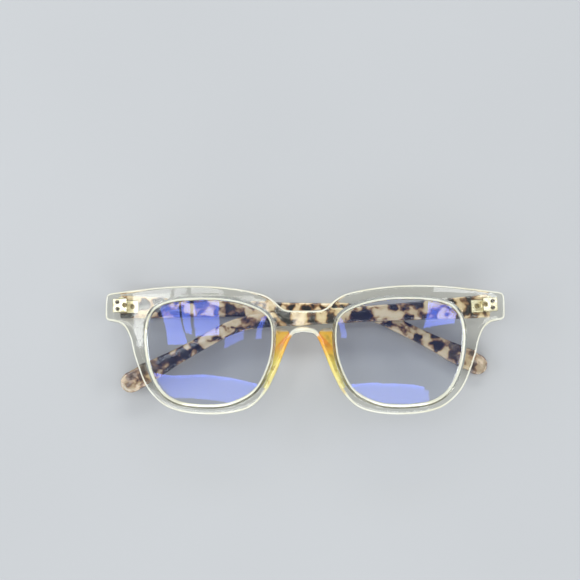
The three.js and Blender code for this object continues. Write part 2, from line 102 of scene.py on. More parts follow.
BROW_LINE = [(0, 14.9), (4, 14.9), (7.1, 15.3), (9.3, 17.1), (11.2, 18.8), (14.4, 20.7),
             (19.8, 22.2), (27, 23.4), (34.4, 24.15), (41.8, 24.4), (49.1, 24.3), (56.6, 23.8),
             (64.2, 23.1), (71.5, 22.4)]
END_LINE = [(71.5, 22.4), (72.8, 21.9), (73.3, 20.4), (73.3, 13.6), (72.8, 12.5), (71.6, 12)]
RIM_LINE = [(71.6, 12), (68.5, 11.5), (66.2, 10.1), (64.7, 8), (63.3, 4.6), (62.3, 0.4),
            (61.2, -2.9), (59.9, -6.4), (58.4, -10), (56.3, -13.5), (52.9, -17.1), (48.8, -19.8),
            (43.5, -21.4), (38, -22.1), (33, -22.25), (28, -22), (23.8, -21.3), (19.6, -19.9),
            (16.1, -17.2), (13.1, -13.5), (11.3, -10), (9.6, -6.4), (8.2, -2.8), (6.8, 0.8),
            (6, 2.7), (5.1, 4.6), (3.8, 6.45), (2, 7.25), (0, 7.4)]
OPENING_LINE = [(-22.85, 4.2), (-22.8, 8.2), (-22.2, 11.2), (-20.6, 13.5), (-17.2, 15.6),
                (-11, 17.75), (-3.8, 18.95), (3.8, 19.2), (10.9, 18.9), (16.2, 17.9), (19.6, 16.2),
                (21.6, 13.6), (22.6, 10), (22.85, 5.5), (22.4, 0.9), (21.5, -3.6), (20, -8),
                (17.7, -12.2), (14.6, -15.3), (11, -17.2), (6.8, -18.15), (0, -18.6),
                (-7.2, -18.05), (-13.8, -15.4), (-17.8, -11.9), (-20.6, -6.5), (-22.2, -1.3)]
OUTLINE_FIT = 0.999  # holds the smooth outline inside the faceted one
OUTLINE_STEP = 0.6
OUTLINE_PASSES = 3  # of softening
OPENING_STEP = 0.35
OPENING_PASSES = 24
TEMPLE_HALF_HEIGHTS = [(0, 4.2), (8, 4.1), (25, 3.4), (50, 2.9), (80, 2.7), (105, 2.55), (118, 2.8),
                       (130, 3.75), (137, 3.9), (142, 3.9)]

BOW_SLOPE = math.atan(HINGE_X / BOW_RADIUS)


def bow(x):
    return -x * x / (2 * BOW_RADIUS)


# ---- places ----

hinges = {j["name"].split("_")[0]: Vector(j["pos_m"]) for j in frame["joints"]}
across = hinges["right"] - hinges["left"]
TILT = math.atan2(across.z, across.x)
back_x = HINGE_X + FRONT_TO_AXIS * math.sin(BOW_SLOPE)
AXIS_Z = bow(back_x) - FRONT_THICKNESS - FRONT_TO_AXIS * math.cos(BOW_SLOPE)
LEVEL = Matrix.Rotation(-TILT, 4, "Y")
SCALE = Matrix.Scale(MM, 4)


def front_place():
    """The front's own axes: X across, Y to the brow, Z out of the lens fronts."""
    middle = (hinges["right"] + hinges["left"]) / 2
    return Matrix.Translation(middle) @ LEVEL @ SCALE @ Matrix.Translation((0, -HINGE_Y, -AXIS_Z))


def side_name(side):
    return "right" if side > 0 else "left"


def hinge_place(side):
    """The front leaf's axes: X outward along the back of the end piece, Z into it."""
    turn = Matrix.Rotation(HINGE_CANT, 4, "Z") @ Matrix.Rotation(side * BOW_SLOPE, 4, "Y")
    at = hinges[side_name(side)]
    return Matrix.Translation(at) @ LEVEL @ turn @ SCALE @ Matrix.Scale(side, 4, (1, 0, 0))


def temple_place(side):
    """The temple's axes: X along it, Y to its top, Z to its outer face."""
    fold = math.pi + FOLD_RIGHT if side > 0 else FOLD_LEFT
    turn = Matrix.Rotation(HINGE_CANT, 4, "Z") @ Matrix.Rotation(fold, 4, "Y")
    at = hinges[side_name(side)]
    return Matrix.Translation(at) @ LEVEL @ turn @ SCALE @ Matrix.Scale(side, 4, (0, 0, 1))


FRONT = front_place()


# ---- mesh helpers ----

# Distances in metres under which points are welded and edges dropped
WELD = 2e-6
SHORTEST_EDGE = 1e-7


def mesh_object(name, verts, faces, place, material, smooth=40.0, others=()):
    """A welded mesh in metres, with its faces turned outward. others holds further materials, each
    with the indices of the faces that take it."""
    mesh = bpy.data.meshes.new(name)
    mesh.from_pydata([place @ Vector(v) for v in verts], [], faces)
    mesh.materials.append(material)
    for slot, (other, chosen) in enumerate(others, 1):
        mesh.materials.append(other)
        for index in chosen:
            mesh.polygons[index].material_index = slot
    bm = bmesh.new()
    bm.from_mesh(mesh)
    bmesh.ops.remove_doubles(bm, verts=bm.verts, dist=WELD)
    bmesh.ops.dissolve_degenerate(bm, edges=bm.edges, dist=SHORTEST_EDGE)
    bmesh.ops.recalc_face_normals(bm, faces=bm.faces)
    bm.to_mesh(mesh)
    bm.free()
    mesh.shade_smooth()
    mesh.set_sharp_from_angle(angle=math.radians(smooth))
    obj = bpy.data.objects.new(name, mesh)
    bpy.context.scene.collection.objects.link(obj)
    return obj


def set_point_values(obj, name, values):
    """Stores one number for each point of a mesh, for its material to read."""
    layer = obj.data.attributes.new(name, "FLOAT", "POINT")
    layer.data.foreach_set("value", values)


SPLINE_STEPS = 10  # between two points of a line


def spline(points, per=SPLINE_STEPS):
    """An open curve through the points."""
    pts = [Vector(p) for p in points]
    out = []
    for i in range(len(pts) - 1):
        p0, p1 = pts[max(i - 1, 0)], pts[i]
        p2, p3 = pts[i + 1], pts[min(i + 2, len(pts) - 1)]
        for k in range(per):
            t = k / per
            v0, v1 = (p2 - p0) / 2, (p3 - p1) / 2
            out.append((2 * p1 - 2 * p2 + v0 + v1) * t ** 3
                       + (3 * p2 - 3 * p1 - 2 * v0 - v1) * t ** 2 + v0 * t + p1)
    out.append(pts[-1])
    return [tuple(p) for p in out]


def even(loop, step):
    """A closed loop resampled at an even spacing."""
    pts = np.array(loop)
    closed = np.vstack([pts, pts[:1]])
    lengths = np.hypot(*np.diff(closed, axis=0).T)
    at = np.concatenate([[0], np.cumsum(lengths)])
    count = int(round(at[-1] / step))
    want = np.arange(count) * at[-1] / count
    return np.column_stack([np.interp(want, at, closed[:, k]) for k in range(2)])


def softened(loop, times):
    """A closed loop with its small unevenness smoothed away."""
    out = loop.copy()
    for _ in range(times):
        out = out / 2 + (np.roll(out, 1, axis=0) + np.roll(out, -1, axis=0)) / 4
    return out


def outset(loop, distance):
    """An anticlockwise loop moved outward along its normals."""
    along = np.roll(loop, -1, axis=0) - np.roll(loop, 1, axis=0)
    along /= np.linalg.norm(along, axis=1)[:, None]
    return loop + distance * np.column_stack([along[:, 1], -along[:, 0]])


def inside(points, loop):
    """Which points lie inside a closed loop."""
    x, y = points[:, 0][:, None], points[:, 1][:, None]
    x0, y0 = loop[:, 0], loop[:, 1]
    x1, y1 = np.roll(x0, -1), np.roll(y0, -1)
    crosses = (y0 > y) != (y1 > y)
    at = x0 + (y - y0) * (x1 - x0) / np.where(y1 == y0, 1e-12, y1 - y0)
    return (crosses & (x < at)).sum(axis=1) % 2 == 1


def strip_faces(count, rings):
    """Quads between consecutive rings of `count` points each."""
    faces = []
    for r in range(rings - 1):
        for i in range(count):
            a = r * count + i
            b = r * count + (i + 1) % count
            faces.append((a, b, b + count, a + count))
    return faces


def end_caps(count, rings):
    """The two faces that close the ends of such rings."""
    last = (rings - 1) * count
    return [tuple(range(count)), tuple(last + i for i in range(count))]


# ---- outlines ----

def front_outline():
    right = spline(BROW_LINE) + spline(END_LINE)[1:] + spline(RIM_LINE)[1:]
    left = [(-x, y) for x, y in reversed(right[1:-1])]
    loop = even(list(reversed(right + left)), OUTLINE_STEP)
    return softened(loop, OUTLINE_PASSES) * OUTLINE_FIT


def opening_outline():
    """The closed opening. Its line runs three points past its start, and the first and last
    stretches, where the spline has no neighbours, are left off."""
    pts = OPENING_LINE + OPENING_LINE[:3]
    loop = spline(pts)[SPLINE_STEPS:-SPLINE_STEPS - 1]
    return softened(even(list(reversed(loop)), OPENING_STEP), OPENING_PASSES)


OUTLINE = front_outline()
OPENING = opening_outline()


def opening(side):
    """The lens opening on one side of the front, anticlockwise."""
    loop = OPENING + (LENS_CENTRE_X, 0)
    return loop if side > 0 else (loop * (-1, 1))[::-1]


# ---- materials ----

def shader(name, **values):
    """A new material; values are set on the Principled shader's own sockets."""
    mat = bpy.data.materials.new(name)
    mat.use_nodes = True
    bsdf = mat.node_tree.nodes["Principled BSDF"]
    for key, value in values.items():
        bsdf.inputs[key.replace("_", " ")].default_value = value
    return mat, mat.node_tree, bsdf


def node(tree, kind, inputs=None, **settings):
    made = tree.nodes.new(kind)
    for key, value in settings.items():
        setattr(made, key, value)
    for key, value in (inputs or {}).items():
        if isinstance(value, bpy.types.NodeSocket):
            tree.links.new(value, made.inputs[key])
        else:
            made.inputs[key].default_value = value
    return made


def ramp(tree, factor, stops):
    made = node(tree, "ShaderNodeValToRGB", {"Fac": factor})
    elements = made.color_ramp.elements
    while len(elements) < len(stops):
        elements.new(0.5)
    for element, (at, color) in zip(elements, stops):
        element.position = at
        element.color = (*color, 1)
    return made.outputs["Color"]


def noise(tree, scale, detail=2.0, vector=None, **more):
    """Noise of about `scale` features a metre."""
    if vector is None:
        vector = node(tree, "ShaderNodeTexCoord").outputs["Object"]
    inputs = {"Vector": vector, "Scale": scale, "Detail": detail, **more}
    return node(tree, "ShaderNodeTexNoise", inputs).outputs["Fac"]


def varied_roughness(tree, bsdf, low, high, scale):
    """Roughness that wanders between two values, as handled plastic and metal has."""
    spread = node(tree, "ShaderNodeMapRange", {
        "Value": noise(tree, scale, 4.0), "From Min": 0.3, "From Max": 0.7,
        "To Min": low, "To Max": high})
    tree.links.new(spread.outputs["Result"], bsdf.inputs["Roughness"])


def bumped(tree, bsdf, height, strength, distance):
    bump = node(tree, "ShaderNodeBump", {
        "Height": height, "Strength": strength, "Distance": distance})
    tree.links.new(bump.outputs["Normal"], bsdf.inputs["Normal"])


def lets_lamps_through(tree, bsdf, tint):
    """Lamp light passes the glass as a tinted shadow."""
    path = node(tree, "ShaderNodeLightPath")
    clear = node(tree, "ShaderNodeBsdfTransparent", {"Color": (*tint, 1)})
    mix = node(tree, "ShaderNodeMixShader", {0: path.outputs["Is Shadow Ray"]})
    tree.links.new(bsdf.outputs["BSDF"], mix.inputs[1])
    tree.links.new(clear.outputs["BSDF"], mix.inputs[2])
    output = tree.nodes["Material Output"]
    tree.links.new(mix.outputs["Shader"], output.inputs["Surface"])


def crystal_material():
    mat, tree, bsdf = shader("crystal", Transmission_Weight=1.0, IOR=1.49)
    color = ramp(tree, noise(tree, 60, 2.0), [
        (0.35, (0.93, 0.92, 0.83)), (0.65, (0.955, 0.945, 0.87))])
    tree.links.new(color, bsdf.inputs["Base Color"])
    varied_roughness(tree, bsdf, 0.015, 0.05, 350)
    bumped(tree, bsdf, noise(tree, 220, 1.0), 0.05, 0.0002)
    lets_lamps_through(tree, bsdf, (0.975, 0.97, 0.94))
    return mat


def painted_highlight_edge_material():
    """The worked edges of the crystal, painted cream as a painted highlight for the light they
    gather.
    """
    mat, tree, bsdf = shader("painted_highlight_edge", Transmission_Weight=0.35, IOR=1.49)
    color = ramp(tree, noise(tree, 120, 2.0), [
        (0.35, (0.97, 0.93, 0.70)), (0.65, (1.0, 0.98, 0.82))])
    tree.links.new(color, bsdf.inputs["Base Color"])
    varied_roughness(tree, bsdf, 0.05, 0.14, 400)
    lets_lamps_through(tree, bsdf, (0.88, 0.86, 0.76))
    return mat


def groove_painted_shade_material():
    """The cut groove for the lens, painted dark as a painted shade line that shows through the
    clear faces.
    """
    mat, tree, bsdf = shader("groove_painted_shade", Transmission_Weight=0.9, IOR=1.49)
    color = ramp(tree, noise(tree, 150, 2.0), [
        (0.35, (0.30, 0.29, 0.23)), (0.65, (0.48, 0.46, 0.37))])
    tree.links.new(color, bsdf.inputs["Base Color"])
    varied_roughness(tree, bsdf, 0.1, 0.25, 400)
    lets_lamps_through(tree, bsdf, (0.80, 0.79, 0.72))
    return mat


def painted_amber_glow_material():
    """The nasal edge of the crystal, painted yellow to orange as a painted highlight tinted with
    the colour of the pad behind it.
    """
    mat, tree, bsdf = shader("painted_amber_glow", Transmission_Weight=0.3, IOR=1.49)
    place = node(tree, "ShaderNodeTexCoord").outputs["Object"]
    height = node(tree, "ShaderNodeSeparateXYZ", {0: place}).outputs["Y"]
    wander = node(tree, "ShaderNodeMapRange", {
        "Value": noise(tree, 500, 2.0), "To Min": -0.002, "To Max": 0.002})
    moved = node(tree, "ShaderNodeMath", {0: height, 1: wander.outputs["Result"]}, operation="ADD")
    down = node(tree, "ShaderNodeMapRange", {
        "Value": moved.outputs["Value"], "From Min": -0.0165, "From Max": 0.0055})
    color = ramp(tree, down.outputs["Result"], [
        (0.0, (0.98, 0.94, 0.66)), (0.15, (0.97, 0.88, 0.40)), (0.55, (0.95, 0.74, 0.16)),
        (0.75, (0.92, 0.50, 0.06)), (0.93, (0.90, 0.40, 0.03)), (1.0, (0.98, 0.88, 0.62))])
    spots = ramp(tree, noise(tree, 330, 1.0), [(0.56, (0, 0, 0)), (0.68, (0.6, 0.6, 0.6))])
    spotted = node(tree, "ShaderNodeMix", {0: spots, 6: color, 7: (0.66, 0.34, 0.04, 1)},
                   data_type="RGBA")
    tree.links.new(spotted.outputs[2], bsdf.inputs["Base Color"])
    varied_roughness(tree, bsdf, 0.05, 0.14, 400)
    lets_lamps_through(tree, bsdf, (0.90, 0.78, 0.45))
    return mat


def lens_material():
    mat, tree, bsdf = shader(
        "lens", Transmission_Weight=1.0, IOR=1.56, Specular_Tint=(0.14, 0.23, 1.0, 1),
        Specular_IOR_Level=1.0)
    color = ramp(tree, noise(tree, 30, 1.0), [
        (0.3, (0.72, 0.75, 0.84)), (0.7, (0.75, 0.78, 0.86))])
    tree.links.new(color, bsdf.inputs["Base Color"])
    varied_roughness(tree, bsdf, 0.0, 0.02, 200)
    lets_lamps_through(tree, bsdf, (0.94, 0.95, 0.98))
    return mat


def amber_material():
    """Yellow low down, orange above, with brown spots, painted shade that darkens the facet on the
    nose side and a top edge painted grey as a painted sheen."""
    mat, tree, bsdf = shader("amber", Transmission_Weight=0.04, IOR=1.49)
    across = node(tree, "ShaderNodeAttribute", attribute_name="pad_across").outputs["Fac"]
    down = node(tree, "ShaderNodeAttribute", attribute_name="pad_down").outputs["Fac"]
    wander = node(tree, "ShaderNodeMapRange", {
        "Value": noise(tree, 400, 2.0), "To Min": -0.8, "To Max": 0.8})
    low = node(tree, "ShaderNodeMath", {0: down, 1: wander.outputs["Result"]}, operation="ADD")
    depth = node(tree, "ShaderNodeMapRange", {
        "Value": low.outputs["Value"], "From Min": -2.0, "From Max": 20.0})
    # The first stop of each ramp paints the top edge grey as a painted sheen.
    lens_side = ramp(tree, depth.outputs["Result"], [
        (0.05, (0.60, 0.54, 0.46)), (0.10, (1.0, 0.56, 0.05)), (0.30, (1.0, 0.64, 0.08)),
        (0.45, (1.0, 0.78, 0.13)), (0.60, (1.0, 0.92, 0.30)), (0.9, (1.0, 0.96, 0.50))])
    # The nose-side ramp is deeper and darker: painted shade on the nose-side facet.
    shaded_nose_side = ramp(tree, depth.outputs["Result"], [
        (0.05, (0.56, 0.48, 0.38)), (0.10, (0.95, 0.30, 0.012)), (0.30, (1.0, 0.38, 0.02)),
        (0.45, (0.98, 0.66, 0.08)), (0.60, (1.0, 0.88, 0.22)), (0.9, (1.0, 0.94, 0.42))])
    ridge = node(tree, "ShaderNodeMapRange", {
        "Value": down, "From Min": 0.3, "From Max": 6.0, "To Min": 0.05, "To Max": 1.05})
    beyond = node(tree, "ShaderNodeMath", {0: across, 1: ridge.outputs["Result"]},
                  operation="SUBTRACT")
    side = node(tree, "ShaderNodeMapRange", {
        "Value": beyond.outputs["Value"], "From Min": -0.05, "From Max": 0.05})
    both = node(tree, "ShaderNodeMix", {0: side.outputs["Result"], 6: shaded_nose_side, 7: lens_side},
                data_type="RGBA")
    spots = ramp(tree, noise(tree, 360, 1.5), [(0.54, (0, 0, 0)), (0.66, (0.55, 0.55, 0.55))])
    spotted = node(tree, "ShaderNodeMix", {
        0: spots, 6: both.outputs[2], 7: (0.42, 0.24, 0.03, 1)}, data_type="RGBA")
    tree.links.new(spotted.outputs[2], bsdf.inputs["Base Color"])
    varied_roughness(tree, bsdf, 0.08, 0.2, 400)
    bumped(tree, bsdf, noise(tree, 500, 2.0), 0.05, 0.0002)
    return mat


def tortoise_material():
    mat, tree, bsdf = shader(
        "tortoiseshell", IOR=1.5, Coat_Weight=0.9, Coat_Roughness=0.03, Subsurface_Weight=0.1,
        Subsurface_Scale=0.002)
    place = node(tree, "ShaderNodeTexCoord").outputs["Object"]
    bent = node(tree, "ShaderNodeTexNoise", {"Vector": place, "Scale": 200.0, "Detail": 2.0})
    shift = node(tree, "ShaderNodeVectorMath", {0: bent.outputs["Color"], 1: (0.5, 0.5, 0.5)},
                 operation="SUBTRACT")
    wide = node(tree, "ShaderNodeVectorMath", {0: shift.outputs["Vector"], "Scale": 0.004},
                operation="SCALE")
    moved = node(tree, "ShaderNodeVectorMath", {0: place, 1: wide.outputs["Vector"]})
    patches = noise(tree, 250, 2.0, moved.outputs["Vector"], Roughness=0.4)
    color = ramp(tree, patches, [
        (0.40, (0.010, 0.008, 0.007)), (0.455, (0.045, 0.022, 0.012)), (0.485, (0.20, 0.095, 0.04)),
        (0.52, (0.42, 0.26, 0.115)), (0.555, (0.72, 0.55, 0.31)), (0.68, (0.86, 0.71, 0.46))])
    along = node(tree, "ShaderNodeAttribute", attribute_name="temple_along").outputs["Fac"]
    tip = node(tree, "ShaderNodeMapRange", {
        "Value": along, "From Min": 116.0, "From Max": 134.0, "To Min": 0.0, "To Max": 0.62})
    smoke = ramp(tree, noise(tree, 420, 2.0, moved.outputs["Vector"]), [
        (0.42, (0.095, 0.066, 0.060)), (0.54, (0.24, 0.17, 0.14)), (0.64, (0.50, 0.40, 0.32))])
    smoky = node(tree, "ShaderNodeMix", {0: tip.outputs["Result"], 6: color, 7: smoke},
                 data_type="RGBA")
    tree.links.new(smoky.outputs[2], bsdf.inputs["Base Color"])
    varied_roughness(tree, bsdf, 0.08, 0.18, 500)
    bumped(tree, bsdf, noise(tree, 600, 2.0), 0.04, 0.0002)
    return mat


def metal_material(name, dark, light, low, high):
    mat, tree, bsdf = shader(name, Metallic=1.0)
    color = ramp(tree, noise(tree, 900, 3.0), [(0.3, dark), (0.7, light)])
    tree.links.new(color, bsdf.inputs["Base Color"])
    varied_roughness(tree, bsdf, low, high, 1500)
    bumped(tree, bsdf, noise(tree, 1500, 2.0), 0.03, 0.00005)
    return mat


def floor_material():
    mat, tree, bsdf = shader("floor", Roughness=0.7)
    color = ramp(tree, noise(tree, 6, 2.0), [
        (0.3, (0.455, 0.455, 0.45)), (0.7, (0.475, 0.475, 0.47))])
    tree.links.new(color, bsdf.inputs["Base Color"])
    return mat


CRYSTAL = crystal_material()
PAINTED_HIGHLIGHT_EDGE = painted_highlight_edge_material()
GROOVE_PAINTED_SHADE = groove_painted_shade_material()
PAINTED_AMBER_GLOW = painted_amber_glow_material()
LENS = lens_material()
AMBER = amber_material()
TORTOISE = tortoise_material()
GOLD = metal_material("pale_gold", (0.78, 0.70, 0.46), (1.0, 0.97, 0.80), 0.22, 0.42)
# Dark bronze for the stud and the rivet, also put on the hinge leaves' edge walls as painted shade,
# a dark outline round them.
DARK_BRONZE_AND_EDGE_SHADE = metal_material("dark_bronze_and_edge_shade", (0.20, 0.16, 0.08), (0.42, 0.35, 0.19), 0.3, 0.5)
DARK_STEEL = metal_material("dark_steel", (0.10, 0.09, 0.08), (0.18, 0.16, 0.14), 0.3, 0.45)


# ---- slabs, turned shapes and cuts ----

ROW_HEIGHT = 0.866  # of a row of triangles, against their side
MESH_MARGIN = 0.45  # between a loop and the grid inside it, in steps
BRICK_EDGE = 0.08
CUT_SMOOTH = 35  # degrees past which an edge stays sharp


def flat_mesh(loops, z, step):
    """A triangle mesh at height z between an outer loop and the holes in it."""
    outer, holes = loops[0], loops[1:]
    low, high = outer.min(axis=0), outer.max(axis=0)
    xs = np.arange(low[0], high[0], step)
    ys = np.arange(low[1], high[1], step * ROW_HEIGHT)
    grid = np.array([(x + (row % 2) * step / 2, y) for row, y in enumerate(ys) for x in xs])
    keep = inside(grid, outset(outer, -step * MESH_MARGIN))
    for hole in holes:
        keep &= ~inside(grid, outset(hole, step * MESH_MARGIN))
    points = [Vector(p) for loop in loops for p in loop] + [Vector(p) for p in grid[keep]]
    edges = []
    base = 0
    for loop in loops:
        count = len(loop)
        edges += [(base + i, base + (i + 1) % count) for i in range(count)]
        base += count
    flat, _, tris, _, _, _ = geometry.delaunay_2d_cdt(points, edges, [], 0, 1e-5)
    flat = np.array([tuple(p) for p in flat])
    tris = np.array([t for t in tris])
    centres = flat[tris].mean(axis=1)
    keep = inside(centres, outer)
    for hole in holes:
        keep &= ~inside(centres, hole)
    return [(x, y, z) for x, y in flat], [tuple(int(i) for i in t) for t in tris[keep]]


def joined(parts):
    """Several (verts, faces) pairs as one."""
    verts, faces = [], []
    for part_verts, part_faces in parts:
        base = len(verts)
        verts += part_verts
        faces += [tuple(base + i for i in face) for face in part_faces]
    return verts, faces


def wall(loop, profile, reach=1.0):
    """Rings of points from one face of a plate to the other. The profile gives how far out and how
    high each ring is; reach widens the rounding of the first half, point by point."""
    reach = np.broadcast_to(reach, len(loop))
    top = profile[0][1]
    rings = []
    for row, (out, z) in enumerate(profile):
        wide = reach if row < len(profile) / 2 else np.ones(len(loop))
        flat = outset(loop, (out * wide)[:, None])
        rings.append(np.column_stack([flat, top + (z - top) * wide]))
    return rings


def slab(walls, step):
    """A plate with holes, from its outer wall and the walls of its holes."""
    parts = []
    for rings in walls:
        points = [tuple(p) for points in rings for p in points]
        parts.append((points, strip_faces(len(rings[0]), len(rings))))
    for end in (0, -1):
        loops = [rings[end][:, :2] for rings in walls]
        parts.append(flat_mesh(loops, walls[0][end][0][2], step))
    return joined(parts)


def rounded_profile(top, bottom, radius, steps=4, side=1):
    """A wall from top to bottom with rounded edges; side -1 makes it the wall of a hole."""
    out = []
    for k in range(steps + 1):
        a = k * math.pi / 2 / steps
        out.append((-side * radius * (1 - math.sin(a)), top - radius * (1 - math.cos(a))))
    lower = [(x, top + bottom - z) for x, z in reversed(out)]
    return out + lower


def ring(radius, centre=(0, 0), count=32):
    turns = [2 * math.pi * k / count for k in range(count)]
    return np.array([(centre[0] + radius * math.cos(a), centre[1] + radius * math.sin(a))
                     for a in turns])


def rectangle(low, high, corner, count=5):
    """An anticlockwise rectangle with rounded corners."""
    out = []
    corners = [(high[0], high[1], 0), (low[0], high[1], 90), (low[0], low[1], 180),
               (high[0], low[1], 270)]
    for x, y, start in corners:
        cx = x - math.copysign(corner, x - (low[0] + high[0]) / 2)
        cy = y - math.copysign(corner, y - (low[1] + high[1]) / 2)
        for k in range(count + 1):
            a = math.radians(start + 90 * k / count)
            out.append((cx + corner * math.cos(a), cy + corner * math.sin(a)))
    return np.array(out)


def turned(profile, axis, centre=(0, 0), count=40):
    """A (radius, height) profile turned round an axis; a closed profile makes a ring."""
    closed = profile[0] == profile[-1]
    rows = profile[:-1] if closed else profile
    verts = []
    for radius, height in rows:
        for k in range(count):
            a = 2 * math.pi * k / count
            u, v = centre[0] + radius * math.cos(a), centre[1] + radius * math.sin(a)
            verts.append((u, height, v) if axis == "Y" else (u, v, height))
    faces = strip_faces(count, len(rows))
    last = (len(rows) - 1) * count
    if closed:
        faces += [(last + i, last + (i + 1) % count, (i + 1) % count, i) for i in range(count)]
    else:
        faces += end_caps(count, len(rows))
    return verts, faces


def brick(low, high):
    """A block with rounded edges."""
    loop = rectangle(low[:2], high[:2], BRICK_EDGE)
    return slab([wall(loop, rounded_profile(high[2], low[2], BRICK_EDGE, 2))], 5.0)


def box_mesh(low, high):
    """A plain block, for cutting."""
    corners = [(x, y, z) for x in (low[0], high[0]) for y in (low[1], high[1])
               for z in (low[2], high[2])]
    return corners, [(0, 1, 3, 2), (4, 6, 7, 5), (0, 4, 5, 1), (2, 3, 7, 6), (0, 2, 6, 4),
                     (1, 5, 7, 3)]


def apply_modifiers(obj):
    graph = bpy.context.evaluated_depsgraph_get()
    mesh = bpy.data.meshes.new_from_object(obj.evaluated_get(graph))
    obj.modifiers.clear()
    obj.data = mesh


def cut(obj, cutters, place):
    """Takes closed shapes away from an object."""
    for verts, faces in cutters:
        tool = mesh_object("cutter", verts, faces, place, obj.data.materials[0])
        carve = obj.modifiers.new("carve", "BOOLEAN")
        carve.object = tool
        carve.solver = "EXACT"
        apply_modifiers(obj)
        bpy.data.objects.remove(tool)
    obj.data.shade_smooth()
    obj.data.set_sharp_from_angle(angle=math.radians(CUT_SMOOTH))


def place_piece(obj, body, node_names):
    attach(obj, body)
    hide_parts(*node_names)


# ---- front frame ----

FRONT_ROUND = 0.9
GROOVE_DEPTH = 1.6
OUTER_PROFILE = rounded_profile(0, -FRONT_THICKNESS, FRONT_ROUND, 7)
OPENING_PROFILE = [
    (1.0, 0), (0.88, -0.02), (0.76, -0.1), (0.16, -0.72), (0.05, -0.87), (0.0, -1.05), (0.0, -1.3),
    (GROOVE_DEPTH, LENS_PLANE_Z), (0.0, -2.9), (0.0, -3.9), (0.08, -4.25), (0.3, -4.5),
    (0.6, -FRONT_THICKNESS)]
# How much wider the round-over gets under the bridge and beside the pads, and where
ARCH_WIDER = 0.9
ARCH_HALF_WIDTH = 6.0
ARCH_TOP = 12
ARCH_FADE = 3
NASAL_WIDER = 0.5
NASAL_X = 22
NASAL_FOOT = -18
NASAL_TOP = 10
NASAL_FADE = 6
# Width of the bevel round a lens at heights from the foot to the brow, and how much narrower it is
# on the nose side
BEVEL_HEIGHTS = [-19, -10, 8, 17]
BEVEL_WIDTHS = [1.0, 0.8, 0.72, 0.55]
BEVEL_NASAL_X = 20
BEVEL_NARROWER = 0.12
# Where the edge of the rim is painted amber, a painted highlight tinted with the colour of the pad
# behind it
AMBER_X = (4.6, 18)
AMBER_Y = (-15, 6.2)
# Strips of each wall painted as a bright line, a painted highlight, and those of the lens groove,
# painted dark as a painted shade line.
OUTER_BRIGHT = (1, 6)
OPENING_BRIGHT = (0, 5)
OPENING_GROOVE = (6, 8)
FRONT_MESH_STEP = 1.5


def eased(t):
    t = np.clip(t, 0, 1)
    return t * t * (3 - 2 * t)


def edge_reach(loop):
    """The round-over is wider under the bridge and beside the pads."""
    x, y = np.abs(loop[:, 0]), loop[:, 1]
    near_middle = np.clip((ARCH_HALF_WIDTH - x) / ARCH_FADE, 0, 1)
    under = eased(near_middle * np.clip((ARCH_TOP - y) / ARCH_FADE, 0, 1))
    beside = eased((NASAL_X - x) / NASAL_FADE) * eased((y - NASAL_FOOT) / NASAL_FADE)
    beside *= y < NASAL_TOP
    return 1 + np.maximum(ARCH_WIDER * under, NASAL_WIDER * beside)


def opening_reach(loop):
    """The bevel round a lens is narrow towards the brow and the nose and wide at the foot."""
    x, y = np.abs(loop[:, 0]), loop[:, 1]
    nasal = eased((BEVEL_NASAL_X - x) / NASAL_FADE)
    return np.interp(y, BEVEL_HEIGHTS, BEVEL_WIDTHS) - BEVEL_NARROWER * nasal


def beside_pad(x, y):
    return AMBER_X[0] < abs(x) < AMBER_X[1] and AMBER_Y[0] < y < AMBER_Y[1]


def front_frame():
    walls = [wall(OUTLINE, OUTER_PROFILE, edge_reach(OUTLINE))]
    for side in (1, -1):
        walls.append(wall(opening(side), OPENING_PROFILE, opening_reach(opening(side))))
    verts, faces = slab(walls, FRONT_MESH_STEP)
    bright, amber, groove = [], [], []
    start = 0
    for rings, (first, last) in zip(walls, (OUTER_BRIGHT, OPENING_BRIGHT, OPENING_BRIGHT)):
        count = len(rings[0])
        for index in range(first * count, last * count):
            x, y, _ = rings[0][index % count]
            outer = start == 0
            (amber if outer and beside_pad(x, y) else bright).append(start + index)
        if start > 0:
            groove += range(start + OPENING_GROOVE[0] * count, start + OPENING_GROOVE[1] * count)
        start += count * (len(rings) - 1)
    bowed = [(x, y, z + bow(x)) for x, y, z in verts]
    # The strips take a painted highlight, those beside the pads a painted amber glow, and the
    # groove rows a painted shade.
    edges = [(PAINTED_HIGHLIGHT_EDGE, bright), (PAINTED_AMBER_GLOW, amber), (GROOVE_PAINTED_SHADE, groove)]
    obj = mesh_object("crystal_front", bowed, faces, FRONT, CRYSTAL, 40, edges)
    place_piece(obj, "front", ["front_frame"])


# ---- lenses ----

LENS_BEVEL = 1.1  # bevel tip past the edge of the opening
LENS_BEVEL_HALF_WIDTH = 0.75
LENS_FACE_OUT = -0.04
LENS_RINGS = [0.06, 0.14, 0.22, 0.3, 0.38, 0.46, 0.54, 0.62, 0.7, 0.78, 0.85, 0.91, 0.96, 1.0]


